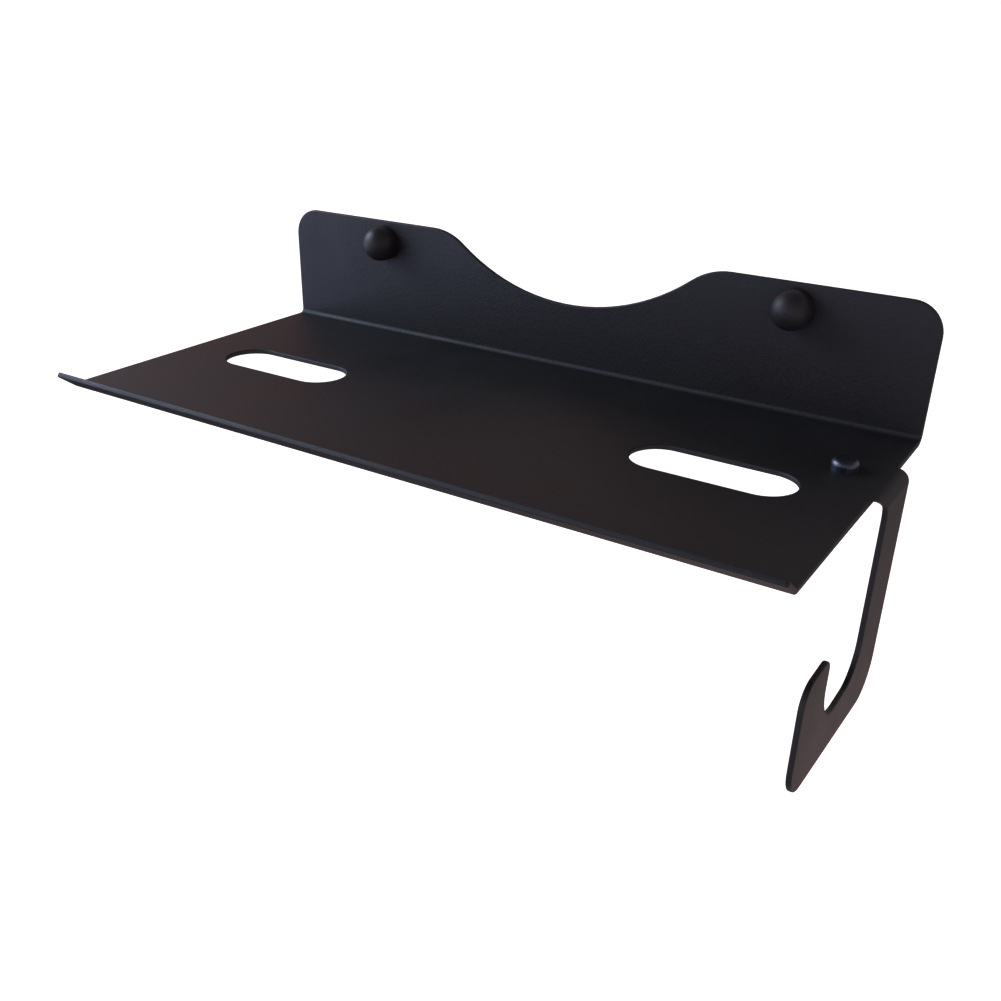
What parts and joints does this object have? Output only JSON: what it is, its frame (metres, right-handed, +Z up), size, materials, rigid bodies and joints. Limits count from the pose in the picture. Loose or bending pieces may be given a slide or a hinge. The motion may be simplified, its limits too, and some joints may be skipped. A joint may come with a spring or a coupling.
{
  "type": "salon styling station",
  "caption": "Wall-mounted folded metal shelf for hair tools, with a scalloped back plate, slotted deck, raised front lip and a dryer hook at its right end.",
  "frame": {"origin": "on the back plate's flat rear face, which lies on the wall, midway along the shelf and 13 mm above the deck's top face", "axes": "+X to the right along the shelf, +Y into the wall, +Z up"},
  "size_m": [0.3045, 0.1772, 0.1383],
  "materials": {
    "black_powder_coat": "fine-textured satin black powder coat",
    "zinc_steel": "bright zinc plate",
    "cap_plastic": "satin moulded",
    "dark_steel": "satin dark nickel"
  },
  "bodies": {
    "shelf": {"folded_shelf": "black_powder_coat", "wall_screw_left": "zinc_steel", "wall_screw_right": "zinc_steel", "cap_base_left": "cap_plastic", "cap_base_right": "cap_plastic", "deck_bolt": "dark_steel", "deck_washer": "zinc_steel", "deck_nut": "zinc_steel"},
    "cap_left": {"dome_cap_left": "cap_plastic"},
    "cap_right": {"dome_cap_right": "cap_plastic"}
  },
  "joints": [
    {"name": "cap_left_pull", "type": "slide", "parent": "shelf", "child": "cap_left", "axis": [0, -1, 0], "range_m": [0, 0.015]},
    {"name": "cap_right_pull", "type": "slide", "parent": "shelf", "child": "cap_right", "axis": [0, -1, 0], "range_m": [0, 0.015]}
  ]
}
